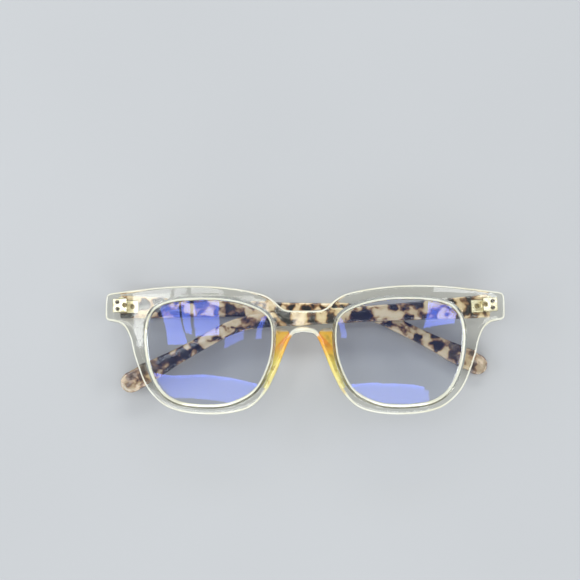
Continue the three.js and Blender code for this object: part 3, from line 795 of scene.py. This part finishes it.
def lens(side):
    """A domed lens with a bevelled edge: front face, bevel and back face, ring by ring."""
    loop = opening(side)
    centre = np.array([side * LENS_CENTRE_X, 0])
    rim = outset(loop, LENS_FACE_OUT)
    rings = []
    for scale in LENS_RINGS:
        dome = LENS_DOME * (1 - scale * scale)
        rings.append((centre + (rim - centre) * scale, LENS_PLANE_Z + LENS_HALF_THICKNESS + dome))
    rings.append((rim, LENS_PLANE_Z + LENS_BEVEL_HALF_WIDTH))
    rings.append((outset(loop, LENS_BEVEL), LENS_PLANE_Z))
    rings.append((rim, LENS_PLANE_Z - LENS_BEVEL_HALF_WIDTH))
    for scale in reversed(LENS_RINGS):
        dome = LENS_DOME * (1 - scale * scale)
        rings.append((centre + (rim - centre) * scale, LENS_PLANE_Z - LENS_HALF_THICKNESS + dome))
    count = len(loop)
    verts = [(x, y, z + bow(x)) for ring, z in rings for x, y in ring]
    faces = strip_faces(count, len(rings))
    last = (len(rings) - 1) * count
    middle = len(verts)
    bulge = LENS_DOME + LENS_PLANE_Z + bow(centre[0])
    verts.append((centre[0], 0, bulge + LENS_HALF_THICKNESS))
    verts.append((centre[0], 0, bulge - LENS_HALF_THICKNESS))
    faces += [(middle, (i + 1) % count, i) for i in range(count)]
    faces += [(middle + 1, last + i, last + (i + 1) % count) for i in range(count)]
    word = side_name(side)
    obj = mesh_object(f"coated_lens_{word}", verts, faces, FRONT, LENS, 30)
    place_piece(obj, "front", [f"lens_{word}"])


# ---- nose pads ----

# Stations down the nasal rim: height, nose side, lens side, depth behind the rim, lean of the
# rear edge away from the nose, and lift of the rear edge towards the brow.
PAD_STATIONS = [
    (7.4, 5.4, 10.6, 4.6, 1.6, 1.9), (4.4, 5.6, 10.4, 4.6, 2.0, 0.9), (0.4, 7.2, 10.4, 4.2, 1.8, 0),
    (-4, 8.9, 11.3, 3.4, 1.3, 0), (-8.4, 10.8, 12.9, 2.5, 0.9, 0), (-12.6, 12.9, 14.7, 1.6, 0.5, 0)]
PAD_GAP = 0.03  # between the pad and the rim
PAD_EDGE = 0.5
PAD_EDGE_STEPS = 4
PAD_EDGE_SHARE = 0.45  # of a side, at most, that a rounded corner takes
PAD_SPLINE_STEPS = 7
# The rear is a narrow flat between two slanted sides. Each side's corner takes a share of the
# lean, the lift and the depth.
PAD_REAR_LEAN = 0.6
PAD_REAR_HALF_WIDTH = 0.7
PAD_REAR_SLANT = 0.2
PAD_NOSE_SHARES = (0.45, 0.6, 0.42)
PAD_LENS_SHARES = (0.5, 0.7, 0.3)
PAD_END_INSET = 0.12
PAD_TOP_LIFT = 0.18


def pad_ring(station):
    """The pad's rounded section at one height."""
    y, nose, lens_x, depth, lean, lift = station

    def back(x):
        return bow(x) - FRONT_THICKNESS - PAD_GAP

    rear = back(lens_x) - depth
    middle = (nose + lens_x) / 2 + lean * PAD_REAR_LEAN

    def side_corner(x, shares):
        return x + lean * shares[0], y + lift * shares[1], rear + depth * shares[2]

    corners = [Vector(p) for p in (
        side_corner(nose, PAD_NOSE_SHARES),
        (middle - PAD_REAR_HALF_WIDTH, y + lift, rear + PAD_REAR_SLANT),
        (middle + PAD_REAR_HALF_WIDTH, y + lift, rear),
        side_corner(lens_x, PAD_LENS_SHARES),
        (lens_x, y, back(lens_x)),
        (nose, y, back(nose)))]
    points = []
    for i, corner in enumerate(corners):
        before, after = corners[i - 1] - corner, corners[(i + 1) % len(corners)] - corner
        reach = min(PAD_EDGE, before.length * PAD_EDGE_SHARE, after.length * PAD_EDGE_SHARE)
        first, last = corner + before.normalized() * reach, corner + after.normalized() * reach
        for k in range(PAD_EDGE_STEPS + 1):
            t = k / PAD_EDGE_STEPS
            points.append(first * (1 - t) ** 2 + corner * 2 * t * (1 - t) + last * t * t)
    return points


def nose_pad(side):
    stations = spline(PAD_STATIONS, PAD_SPLINE_STEPS)
    rings = [pad_ring(station) for station in stations]
    ends = []
    for points in (rings[0], rings[-1]):
        centre = sum(points, Vector()) / len(points)
        ends.append([p + (centre - p) * PAD_END_INSET for p in points])
    ends[0] = [p + Vector((0, PAD_TOP_LIFT, 0)) for p in ends[0]]
    rings = [ends[0]] + rings + [ends[1]]
    stations = [stations[0]] + stations + [stations[-1]]
    count = len(rings[0])
    verts = [(side * p.x, p.y, p.z) for points in rings for p in points]
    faces = strip_faces(count, len(rings)) + end_caps(count, len(rings))
    across, down = [], []
    for points, (_, nose, lens_x, *_) in zip(rings, stations):
        across += [(p.x - nose) / (lens_x - nose) for p in points]
        down += [PAD_STATIONS[0][0] - p.y for p in points]
    word = side_name(side)
    obj = mesh_object(f"amber_pad_{word}", verts, faces, FRONT, AMBER, 50)
    if len(obj.data.vertices) != len(verts):
        raise ValueError("the pad's points were merged")
    set_point_values(obj, "pad_across", across)
    set_point_values(obj, "pad_down", down)
    place_piece(obj, "front", [f"nose_pad_{word}"])


# ---- temples ----

def temple_line(distance):
    """The temple's middle line at a distance along it, and its downward angle."""
    bent = min(max(distance - BEND_START, 0), BEND_RADIUS * BEND_ANGLE)
    angle = TEMPLE_SLOPE + bent / BEND_RADIUS
    straight = min(distance, BEND_START)
    tail = max(distance - BEND_START - bent, 0)
    arc_x = BEND_RADIUS * (math.sin(angle) - math.sin(TEMPLE_SLOPE))
    arc_y = BEND_RADIUS * (math.cos(angle) - math.cos(TEMPLE_SLOPE))
    x = straight * math.cos(TEMPLE_SLOPE) + arc_x + tail * math.cos(angle)
    y = -straight * math.sin(TEMPLE_SLOPE) + arc_y - tail * math.sin(angle)
    return x, y, angle


HEIGHT_CURVE = np.array(spline(TEMPLE_HALF_HEIGHTS, 20))


def section(half_height, inner, outer, corner, count=10):
    """A rounded section as (height, depth) points, from bottom inner corner."""
    middle, half = (inner + outer) / 2, (outer - inner) / 2
    corner = min(corner, half_height * 0.98, half * 0.98)
    points = []
    for quarter, (sy, sz) in enumerate([(-1, -1), (1, -1), (1, 1), (-1, 1)]):
        for k in range(count + 1):
            a = math.radians(90 * quarter) + k * math.pi / 2 / count
            cy = sy * (half_height - corner)
            cz = sz * (half - corner)
            points.append((cy - corner * math.cos(a), middle + cz - corner * math.sin(a)))
    return points


TEMPLE_STEP = 1.0
TEMPLE_CORNER = 0.95
# The eased butt: how far past the end, and how far the section is drawn in there.
BUTT_EASE = [(0.0, 0.35), (0.1, 0.15), (0.35, 0.0)]
TIP_EASE = 1.2  # length over which the tip's faces round off
TIP_EASE_DEPTH = 1.0
TIP_STEPS = 16
LEAF_POCKET_GAP = 0.12
LEAF_POCKET_FLOOR = 0.05
ARM_SLOT_START = -4


def temple(side):
    butt = -FRONT_TO_AXIS + BUTT_GAP
    mitre = math.tan(BOW_SLOPE + SPLAY)
    stations = [(butt + distance, inset) for distance, inset in BUTT_EASE]
    stations += [(float(d), 0.0) for d in np.arange(0, TEMPLE_LENGTH - TIP_ROUND, TEMPLE_STEP)]
    stations += [(TEMPLE_LENGTH - TIP_ROUND * (1 - math.sin(a)), 0.0)
                 for a in np.linspace(0, math.pi / 2, TIP_STEPS)]
    verts = []
    for distance, inset in stations:
        x, y, angle = temple_line(distance)
        if distance < 0:
            x, y, angle = distance, 0.0, 0.0
        half = float(np.interp(max(distance, 0), HEIGHT_CURVE[:, 0], HEIGHT_CURVE[:, 1]))
        past = max(0.0, distance - (TEMPLE_LENGTH - TIP_ROUND)) / TIP_ROUND
        half = max(half * math.sqrt(max(0.0, 1 - past * past)), 0.05) - inset
        end = max(0.0, distance - (TEMPLE_LENGTH - TIP_EASE)) / TIP_EASE
        squeeze = TIP_EASE_DEPTH * (1 - math.sqrt(max(0.0, 1 - end * end)))
        for height, depth in section(half, TEMPLE_OUTER - TEMPLE_THICKNESS + inset + squeeze,
                                     TEMPLE_OUTER - inset - squeeze, TEMPLE_CORNER):
            px = x + height * math.sin(angle)
            py = y + height * math.cos(angle)
            thin = 1 + (TEMPLE_THIN / TEMPLE_THICKNESS - 1) * min(max(px / THIN_AT, 0), 1)
            pz = TEMPLE_OUTER - (TEMPLE_OUTER - depth) * thin
            px += pz * mitre * min(max(1 - px / MITRE_LENGTH, 0), 1)
            verts.append((px, py, pz))
    count = len(verts) // len(stations)
    faces = strip_faces(count, len(stations)) + end_caps(count, len(stations))
    word = side_name(side)
    place = temple_place(side)
    obj = mesh_object(f"tortoise_temple_{word}", verts, faces, place, TORTOISE, 50)
    back = place.inverted()
    set_point_values(obj, "temple_along", [(back @ v.co).x for v in obj.data.vertices])
    floor = TEMPLE_OUTER - TEMPLE_THICKNESS + LEAF_THICKNESS + LEAF_POCKET_FLOOR
    first, last = TEMPLE_LEAF_X[0] - LEAF_POCKET_GAP, TEMPLE_LEAF_X[1] + LEAF_POCKET_GAP
    leaf_side = TEMPLE_LEAF_HALF_HEIGHT + LEAF_POCKET_GAP
    arm_side = MIDDLE_HALF_HEIGHT + KNUCKLE_GAP
    cut(obj, [
        box_mesh((first, -leaf_side, 0), (last, leaf_side, floor)),
        box_mesh((ARM_SLOT_START, -arm_side, 0),
                 (TEMPLE_LEAF_X[0] + 1, arm_side, floor + 0.01))], place)
    place_piece(obj, f"{word}_temple", [f"temple_{word}"])


# ---- hinges ----

KNUCKLE_EASE = 0.14
LEAF_EDGE = 0.12  # rounding of the leaves' edges
HOLE_EDGE = 0.1
HOLE_GAP = 0.1  # round the pins and the rivet
STUD_GAP = 0.12
LEAF_STEP = 0.12  # along the leaves' edges
LEAF_MESH_STEP = 0.5
WEB_HALF_WIDTH = 0.9
TURNED_CORE = 0.001  # radius at which a turned piece closes
PIN_EASE = 0.15
SCREW_HEAD_HEIGHT = 0.6
SLOT_DEPTH = 0.3
SLOT_HALF_WIDTH = 0.14
RIVET_REACH = 3.9
PIN_REACH = 4.1


def knuckle(low, high):
    """A barrel of the hinge with a bore for the screw."""
    eased_radius, corner = KNUCKLE_RADIUS - KNUCKLE_EASE, KNUCKLE_EASE * 0.3
    return turned([
        (BORE_RADIUS, low), (eased_radius, low), (KNUCKLE_RADIUS - corner, low + corner),
        (KNUCKLE_RADIUS, low + KNUCKLE_EASE), (KNUCKLE_RADIUS, high - KNUCKLE_EASE),
        (KNUCKLE_RADIUS - corner, high - corner), (eased_radius, high),
        (BORE_RADIUS, high), (BORE_RADIUS, low)], "Y")


def leaf_edges(walls):
    """The faces of a leaf's outer edge and holes, which come first in its slab."""
    return range(sum(len(rings[0]) * (len(rings) - 1) for rings in walls))


def front_leaf(side, word):
    face = FRONT_TO_AXIS + LEAF_THICKNESS
    edge = rounded_profile(face, FRONT_TO_AXIS, LEAF_EDGE, 3)
    hole_edge = rounded_profile(face, FRONT_TO_AXIS, HOLE_EDGE, 3, -1)
    plate = rectangle((FRONT_LEAF_X[0], -LEAF_HALF_HEIGHT), (FRONT_LEAF_X[1], LEAF_HALF_HEIGHT),
                      0.35)
    holes = [ring(SHANK_RADIUS + HOLE_GAP, (PIN_OFFSET, PIN_HEIGHT)),
             ring(SHANK_RADIUS + HOLE_GAP, (PIN_OFFSET, -PIN_HEIGHT)),
             ring(STUD_RADIUS + STUD_GAP, (STUD_OFFSET, 0))]
    walls = [wall(even(plate, LEAF_STEP), edge)] + [wall(hole, hole_edge) for hole in holes]
    parts = [slab(walls, LEAF_MESH_STEP)]
    stud = [(TURNED_CORE, face - 0.45), (0.3, face - 0.45), (0.42, face + 0.05), (0.5, face + 0.15),
            (STUD_RADIUS - 0.1, face + 0.15), (STUD_RADIUS, face + 0.05), (STUD_RADIUS, face - 0.9),
            (TURNED_CORE, face - 0.9)]
    parts.append(turned(stud, "Z", (STUD_OFFSET, 0)))
    first = len(parts[0][1])
    # The leaf's edge walls take painted shade as a dark outline, and the stud is dark bronze.
    edge_shade_and_stud = [*leaf_edges(walls), *range(first, first + len(parts[1][1]))]
    for low, high in ((MIDDLE_HALF_HEIGHT + KNUCKLE_GAP, LEAF_HALF_HEIGHT),
                      (-LEAF_HALF_HEIGHT, -MIDDLE_HALF_HEIGHT - KNUCKLE_GAP)):
        parts.append(knuckle(low, high))
        parts.append(brick((-WEB_HALF_WIDTH, low, BORE_RADIUS),
                           (WEB_HALF_WIDTH, high, FRONT_TO_AXIS + 0.2)))
    verts, faces = joined(parts)
    obj = mesh_object(f"front_leaf_{word}", verts, faces, hinge_place(side), GOLD, 35,
                      [(DARK_BRONZE_AND_EDGE_SHADE, edge_shade_and_stud)])
    place_piece(obj, "front", [f"front_hinge_leaf_{word}"])


def leaf_pins(side, word):
    for name, height in (("upper", PIN_HEIGHT), ("lower", -PIN_HEIGHT)):
        top, low, radius = PIN_REACH, FRONT_TO_AXIS + 0.05, SHANK_RADIUS
        profile = [(TURNED_CORE, top), (radius - PIN_EASE, top), (radius, top - PIN_EASE),
                   (radius, low + 0.1), (radius - 0.1, low), (TURNED_CORE, low)]
        verts, faces = turned(profile, "Z", (PIN_OFFSET, height), 28)
        obj = mesh_object(f"leaf_pin_{name}_of_{word}", verts, faces, hinge_place(side),
                          DARK_STEEL, 35)
        place_piece(obj, "front", [f"leaf_pin_{name}_{word}"])


def screw(side, word):
    neck = LEAF_HALF_HEIGHT + KNUCKLE_GAP
    head = neck + SCREW_HEAD_HEIGHT
    profile = [(TURNED_CORE, -LEAF_HALF_HEIGHT), (SHANK_RADIUS - 0.1, -LEAF_HALF_HEIGHT),
               (SHANK_RADIUS, -LEAF_HALF_HEIGHT + 0.1), (SHANK_RADIUS, neck), (0.95, neck),
               (1.03, neck + 0.08), (1.03, neck + 0.3), (0.95, neck + 0.45), (0.75, head - 0.04),
               (0.6, head), (TURNED_CORE, head)]
    verts, faces = turned(profile, "Y")
    place = hinge_place(side)
    obj = mesh_object(f"screw_{word}", verts, faces, place, GOLD, 35)
    cut(obj, [box_mesh((-KNUCKLE_RADIUS, head - SLOT_DEPTH, -SLOT_HALF_WIDTH),
                       (KNUCKLE_RADIUS, head + 0.5, SLOT_HALF_WIDTH))], place)
    place_piece(obj, "front", [f"hinge_screw_{word}"])


def temple_leaf(side, word):
    inner = TEMPLE_OUTER - TEMPLE_THICKNESS
    face = inner + LEAF_THICKNESS
    plate = rectangle((TEMPLE_LEAF_X[0], -TEMPLE_LEAF_HALF_HEIGHT),
                      (TEMPLE_LEAF_X[1], TEMPLE_LEAF_HALF_HEIGHT), 0.3)
    hole = ring(SHANK_RADIUS + HOLE_GAP, (RIVET_AT, 0))
    walls = [wall(even(plate, LEAF_STEP), rounded_profile(face, inner, LEAF_EDGE, 3)),
             wall(hole, rounded_profile(face, inner, HOLE_EDGE, 3, -1))]
    parts = [slab(walls, LEAF_MESH_STEP)]
    parts.append(brick((0.0, -MIDDLE_HALF_HEIGHT, BORE_RADIUS + 0.02),
                       (TEMPLE_LEAF_X[0] + 0.6, MIDDLE_HALF_HEIGHT, face)))
    parts.append(knuckle(-MIDDLE_HALF_HEIGHT, MIDDLE_HALF_HEIGHT))
    verts, faces = joined(parts)
    # The leaf's edge walls take painted shade as a dark outline.
    obj = mesh_object(f"temple_leaf_{word}", verts, faces, temple_place(side), GOLD, 35,
                      [(DARK_BRONZE_AND_EDGE_SHADE, leaf_edges(walls))])
    place_piece(obj, f"{word}_temple", [f"temple_hinge_leaf_{word}"])


def rivet(side, word):
    inner = TEMPLE_OUTER - TEMPLE_THICKNESS
    profile = [(TURNED_CORE, inner - 0.28), (0.42, inner - 0.28), (0.5, inner - 0.4),
               (0.7, inner - 0.4), (RIVET_HEAD_RADIUS - 0.05, inner - 0.28),
               (RIVET_HEAD_RADIUS, inner - 0.15), (RIVET_HEAD_RADIUS, inner - 0.02),
               (SHANK_RADIUS, inner - 0.02), (SHANK_RADIUS, RIVET_REACH),
               (TURNED_CORE, RIVET_REACH)]
    verts, faces = turned(profile, "Z", (RIVET_AT, 0), 36)
    obj = mesh_object(f"rivet_{word}", verts, faces, temple_place(side), DARK_BRONZE_AND_EDGE_SHADE, 35)
    place_piece(obj, f"{word}_temple", [f"temple_rivet_{word}"])


def hinge(side):
    word = side_name(side)
    front_leaf(side, word)
    leaf_pins(side, word)
    screw(side, word)
    temple_leaf(side, word)
    rivet(side, word)


front_frame()
for each in (1, -1):
    lens(each)
    nose_pad(each)
    temple(each)
    hinge(each)


# ---- camera, light and floor ----

CAMERA_HEIGHT = 0.2695  # above the front
CAMERA_FOCUS = 47.2  # mm on a 36 mm sensor
CAMERA_X = -0.0086
CAMERA_Y = -0.0224
AIM_UP = math.radians(6.0)
AIM_RIGHT = math.radians(0.7)
VIEW_SHIFT = 0.0726  # upward, which sets the glasses low in the picture

LAMP_HEIGHT = 1.0
LAMP_COLOR = (0.93, 0.96, 1.0)
WORLD_LIGHT = 0.40
WORLD_COLOR = (0.85, 0.92, 1.0)
FLOOR_HALF = 1.7
# Softboxes overhead: centre, size, turn in degrees and radiance. They show in the lenses as
# windows do.
LAMPS = [
    ("strip", (-0.19, -0.15), (1.30, 0.13), -4.5, 4.3),
    ("strip_edge", (-0.20, -0.078), (1.26, 0.022), -4.5, 6.6),
    ("window_wide", (-0.60, 0.25), (0.16, 0.30), 3.0, 6.0),
    ("window_side", (-0.483, 0.29), (0.05, 0.22), 3.0, 6.4),
    ("window_small", (-0.378, 0.288), (0.125, 0.225), 3.0, 6.0),
    ("window_pane", (-0.212, 0.135), (0.12, 0.08), 12.0, 3.8),
    ("window_right", (0.545, 0.288), (0.25, 0.19), -6.0, 6.4),
    ("window_thin", (-0.055, 0.175), (0.035, 0.15), 0.0, 4.4)]
# Softboxes round the sides: place, size and radiance. They light the rounded edges.
SIDE_LAMPS = [
    ("side_brow", (0.0, 1.0, 0.55), (1.2, 0.22), 7.4),
    ("side_rim", (0.0, -1.0, 0.50), (1.2, 0.22), 7.4),
    ("side_left", (-1.1, 0.0, 0.55), (1.0, 0.22), 7.4),
    ("side_right", (1.1, 0.0, 0.55), (1.0, 0.22), 7.4)]


def camera():
    data = bpy.data.cameras.new("camera")
    data.lens = CAMERA_FOCUS
    data.shift_y = VIEW_SHIFT
    data.clip_start = 0.01
    obj = bpy.data.objects.new("camera", data)
    bpy.context.scene.collection.objects.link(obj)
    obj.location = (CAMERA_X, CAMERA_Y, cad_box[1].z + CAMERA_HEIGHT)
    obj.rotation_euler = (AIM_UP, -AIM_RIGHT, 0)
    bpy.context.scene.camera = obj


def lamp(name, place, target, size, power):
    data = bpy.data.lights.new(name, "AREA")
    data.shape = "RECTANGLE"
    data.size, data.size_y = size
    data.energy = power
    data.color = LAMP_COLOR
    obj = bpy.data.objects.new(name, data)
    bpy.context.scene.collection.objects.link(obj)
    obj.location = place
    obj.rotation_euler = (Vector(target) - Vector(place)).to_track_quat("-Z", "Y").to_euler()
    return obj


def stage():
    mesh = bpy.data.meshes.new("floor")
    corners = [(-FLOOR_HALF, -FLOOR_HALF, 0), (FLOOR_HALF, -FLOOR_HALF, 0),
               (FLOOR_HALF, FLOOR_HALF, 0), (-FLOOR_HALF, FLOOR_HALF, 0)]
    mesh.from_pydata(corners, [], [(0, 1, 2, 3)])
    obj = bpy.data.objects.new("floor", mesh)
    bpy.context.scene.collection.objects.link(obj)
    mesh.materials.append(floor_material())
    world = bpy.data.worlds.new("studio")
    bpy.context.scene.world = world
    world.use_nodes = True
    back = world.node_tree.nodes["Background"]
    back.inputs["Color"].default_value = (*WORLD_COLOR, 1)
    back.inputs["Strength"].default_value = WORLD_LIGHT
    for name, centre, size, turn, radiance in LAMPS:
        power = radiance * math.pi * size[0] * size[1]
        box = lamp(name, (*centre, LAMP_HEIGHT), (*centre, 0), size, power)
        box.rotation_euler.rotate_axis("Z", math.radians(turn))
    for name, place, size, radiance in SIDE_LAMPS:
        lamp(name, place, (0, 0, 0), size, radiance * math.pi * size[0] * size[1])


camera()
stage()

bpy.context.scene.view_settings.view_transform = "Standard"
bpy.context.scene.cycles.caustics_refractive = False
bpy.context.scene.cycles.caustics_reflective = False
